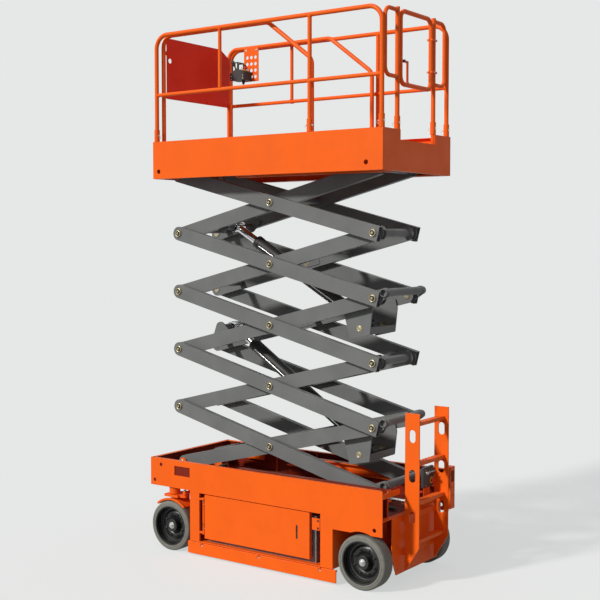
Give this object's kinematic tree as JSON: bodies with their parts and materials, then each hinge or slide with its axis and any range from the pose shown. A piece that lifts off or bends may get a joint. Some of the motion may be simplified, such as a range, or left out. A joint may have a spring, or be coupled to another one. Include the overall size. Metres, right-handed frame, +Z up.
{
  "type": "scissor lift",
  "caption": "Self-propelled scissor lift: raised crossed-arm stack on a wheeled steerable chassis, with a railed platform, roll-out deck, entry gate and rear ladder.",
  "frame": {"origin": "on the ground under the middle of the machine's overall length and width", "axes": "+X forward to the steered end, +Y to the left side, +Z up"},
  "size_m": [2.382, 1, 4.207],
  "materials": {
    "orange": "gloss paint",
    "arm_grey": "satin paint",
    "tyre_grey": "smooth non-marking rubber",
    "rim_black": "satin paint",
    "zinc": "yellow passivated zinc",
    "chrome": "polished",
    "ram_black": "satin paint",
    "panel_red": "satin paint",
    "deck_plate": "worn paint",
    "box_black": "matt",
    "battery_black": "matt"
  },
  "bodies": {
    "base": {"chassis": "orange", "base_pins": "zinc", "ladder": "orange", "battery_block": "battery_black", "power_unit": "battery_black"},
    "front_left_steer": {"left_yoke": "orange"},
    "front_right_steer": {"right_yoke": "orange"},
    "steer_link": {"tie_rod": "orange"},
    "left_pothole_guard_body": {"left_pothole_guard": "orange"},
    "right_pothole_guard_body": {"right_pothole_guard": "orange"},
    "left_tray": {"left_tray_door": "orange"},
    "right_tray": {"right_tray_door": "orange"},
    "platform": {"platform_frame": "orange", "left_side_rails": "orange", "right_side_rails": "orange", "rear_rails": "orange"},
    "entry_gate": {"gate": "orange"},
    "extension": {"extension_deck": "deck_plate", "extension_rails": "orange", "front_panel": "panel_red", "control_bracket": "orange", "control_box": "box_black"},
    "front_left_wheel": {"front_left_tyre": "tyre_grey", "front_left_rim": "rim_black"},
    "front_right_wheel": {"front_right_tyre": "tyre_grey", "front_right_rim": "rim_black"},
    "rear_left_wheel": {"rear_left_tyre": "tyre_grey", "rear_left_rim": "rim_black"},
    "rear_right_wheel": {"rear_right_tyre": "tyre_grey", "rear_right_rim": "rim_black"},
    "inner_stage_1": {"inner_arms_1": "arm_grey", "lower_ram_pin": "zinc"},
    "outer_stage_1": {"outer_arms_1": "arm_grey", "pins_1": "zinc", "base_rollers": "zinc"},
    "inner_stage_2": {"inner_arms_2": "arm_grey"},
    "outer_stage_2": {"outer_arms_2": "arm_grey", "pins_2": "zinc"},
    "inner_stage_3": {"inner_arms_3": "arm_grey", "upper_ram_pin": "zinc"},
    "outer_stage_3": {"outer_arms_3": "arm_grey", "pins_3": "zinc"},
    "inner_stage_4": {"inner_arms_4": "arm_grey"},
    "outer_stage_4": {"outer_arms_4": "arm_grey", "pins_4": "zinc"},
    "inner_stage_5": {"inner_arms_5": "arm_grey", "deck_rollers": "zinc"},
    "outer_stage_5": {"outer_arms_5": "arm_grey", "pins_5": "zinc", "deck_pins": "zinc"},
    "lower_barrel": {"lower_ram_barrel": "ram_black"},
    "lower_rod": {"lower_ram_rod": "chrome"},
    "upper_barrel": {"upper_ram_barrel": "ram_black"},
    "upper_rod": {"upper_ram_rod": "chrome"}
  },
  "joints": [
    {"name": "lift", "type": "hinge", "parent": "base", "child": "inner_stage_1", "pos_m": [1.051, 0, 0.683], "axis": [0, 1, 0], "range_deg": [-9.82, 49.78]},
    {"name": "stage_1_centre", "type": "hinge", "parent": "inner_stage_1", "child": "outer_stage_1", "pos_m": [0.10781, 0, 0.92201], "axis": [0, 1, 0], "range_deg": [-99.56, 19.64]},
    {"name": "stage_1_front", "type": "hinge", "parent": "outer_stage_1", "child": "inner_stage_2", "pos_m": [1.051, 0, 1.16103], "axis": [0, 1, 0], "range_deg": [-19.64, 99.56]},
    {"name": "stage_2_centre", "type": "hinge", "parent": "inner_stage_2", "child": "outer_stage_2", "pos_m": [0.10781, 0, 1.40004], "axis": [0, 1, 0], "range_deg": [-99.56, 19.64]},
    {"name": "stage_2_front", "type": "hinge", "parent": "outer_stage_2", "child": "inner_stage_3", "pos_m": [1.051, 0, 1.63905], "axis": [0, 1, 0], "range_deg": [-19.64, 99.56]},
    {"name": "stage_3_centre", "type": "hinge", "parent": "inner_stage_3", "child": "outer_stage_3", "pos_m": [0.10781, 0, 1.87807], "axis": [0, 1, 0], "range_deg": [-99.56, 19.64]},
    {"name": "stage_3_front", "type": "hinge", "parent": "outer_stage_3", "child": "inner_stage_4", "pos_m": [1.051, 0, 2.11708], "axis": [0, 1, 0], "range_deg": [-19.64, 99.56]},
    {"name": "stage_4_centre", "type": "hinge", "parent": "inner_stage_4", "child": "outer_stage_4", "pos_m": [0.10781, 0, 2.35609], "axis": [0, 1, 0], "range_deg": [-99.56, 19.64]},
    {"name": "stage_4_front", "type": "hinge", "parent": "outer_stage_4", "child": "inner_stage_5", "pos_m": [1.051, 0, 2.59511], "axis": [0, 1, 0], "range_deg": [-19.64, 99.56]},
    {"name": "stage_5_centre", "type": "hinge", "parent": "inner_stage_5", "child": "outer_stage_5", "pos_m": [0.10781, 0, 2.83412], "axis": [0, 1, 0], "range_deg": [-99.56, 19.64]},
    {"name": "platform_level", "type": "hinge", "parent": "outer_stage_5", "child": "platform", "pos_m": [1.051, 0, 3.07313], "axis": [0, 1, 0], "range_deg": [-9.82, 49.78]},
    {"name": "lower_ram_swing", "type": "hinge", "parent": "inner_stage_1", "child": "lower_barrel", "pos_m": [-0.6489, 0, 0.92395], "axis": [0, 1, 0], "range_deg": [-89.6, 17.68]},
    {"name": "lower_ram_stroke", "type": "slide", "parent": "lower_barrel", "child": "lower_rod", "axis": [0.8308, 0, 0.5565], "range_m": [-0.18853, 0.95571]},
    {"name": "upper_ram_swing", "type": "hinge", "parent": "inner_stage_3", "child": "upper_barrel", "pos_m": [-0.6489, 0, 1.88001], "axis": [0, 1, 0], "range_deg": [-94.58, 18.66]},
    {"name": "upper_ram_stroke", "type": "slide", "parent": "upper_barrel", "child": "upper_rod", "axis": [0.8625, 0, 0.506], "range_m": [-0.17996, 0.91227]},
    {"name": "front_left_spin", "type": "hinge", "parent": "front_left_steer", "child": "front_left_wheel", "pos_m": [0.984, 0.4365, 0.203], "axis": [0, 1, 0], "continuous": true},
    {"name": "rear_left_spin", "type": "hinge", "parent": "base", "child": "rear_left_wheel", "pos_m": [-0.865, 0.4365, 0.203], "axis": [0, 1, 0], "continuous": true},
    {"name": "front_right_spin", "type": "hinge", "parent": "front_right_steer", "child": "front_right_wheel", "pos_m": [0.984, -0.4365, 0.203], "axis": [0, 1, 0], "continuous": true},
    {"name": "rear_right_spin", "type": "hinge", "parent": "base", "child": "rear_right_wheel", "pos_m": [-0.865, -0.4365, 0.203], "axis": [0, 1, 0], "continuous": true},
    {"name": "steer", "type": "hinge", "parent": "base", "child": "front_left_steer", "pos_m": [0.984, 0.4365, 0.46], "axis": [0, 0, 1], "range_deg": [-50, 50]},
    {"name": "steer_right", "type": "hinge", "parent": "base", "child": "front_right_steer", "pos_m": [0.984, -0.4365, 0.46], "axis": [0, 0, 1], "range_deg": [-50, 50]},
    {"name": "steer_link_turn", "type": "hinge", "parent": "front_left_steer", "child": "steer_link", "pos_m": [0.874, 0.4365, 0.478], "axis": [0, 0, 1], "range_deg": [-50, 50]},
    {"name": "left_guard_fold", "type": "hinge", "parent": "base", "child": "left_pothole_guard_body", "pos_m": [0.075, 0.484, 0.104], "axis": [1, 0, 0], "range_deg": [0, 80]},
    {"name": "left_tray_swing", "type": "hinge", "parent": "base", "child": "left_tray", "pos_m": [0.632, 0.488, 0.333], "axis": [0, 0, 1], "range_deg": [-110, 0]},
    {"name": "right_guard_fold", "type": "hinge", "parent": "base", "child": "right_pothole_guard_body", "pos_m": [0.075, -0.484, 0.104], "axis": [1, 0, 0], "range_deg": [-80, 0]},
    {"name": "right_tray_swing", "type": "hinge", "parent": "base", "child": "right_tray", "pos_m": [0.632, -0.488, 0.333], "axis": [0, 0, 1], "range_deg": [0, 110]},
    {"name": "gate_swing", "type": "hinge", "parent": "platform", "child": "entry_gate", "pos_m": [-1.01537, -0.224, 3.9], "axis": [0, 0, 1], "range_deg": [-95, 0]},
    {"name": "extension_roll_out", "type": "slide", "parent": "platform", "child": "extension", "axis": [1, 0, 0], "range_m": [0, 0.9]}
  ],
  "couplings": [
    {"joint": "stage_1_centre", "follows": "lift", "ratio": -2},
    {"joint": "stage_1_front", "follows": "lift", "ratio": 2},
    {"joint": "stage_2_centre", "follows": "lift", "ratio": -2},
    {"joint": "stage_2_front", "follows": "lift", "ratio": 2},
    {"joint": "stage_3_centre", "follows": "lift", "ratio": -2},
    {"joint": "stage_3_front", "follows": "lift", "ratio": 2},
    {"joint": "stage_4_centre", "follows": "lift", "ratio": -2},
    {"joint": "stage_4_front", "follows": "lift", "ratio": 2},
    {"joint": "stage_5_centre", "follows": "lift", "ratio": -2},
    {"joint": "platform_level", "follows": "lift", "ratio": 1},
    {"joint": "lower_ram_swing", "follows": "lift", "ratio": -1.8},
    {"joint": "lower_ram_stroke", "follows": "lift", "m_per_rad": 1.1},
    {"joint": "upper_ram_swing", "follows": "lift", "ratio": -1.9},
    {"joint": "upper_ram_stroke", "follows": "lift", "m_per_rad": 1.05},
    {"joint": "steer_right", "follows": "steer", "ratio": 1},
    {"joint": "steer_link_turn", "follows": "steer", "ratio": -1}
  ]
}
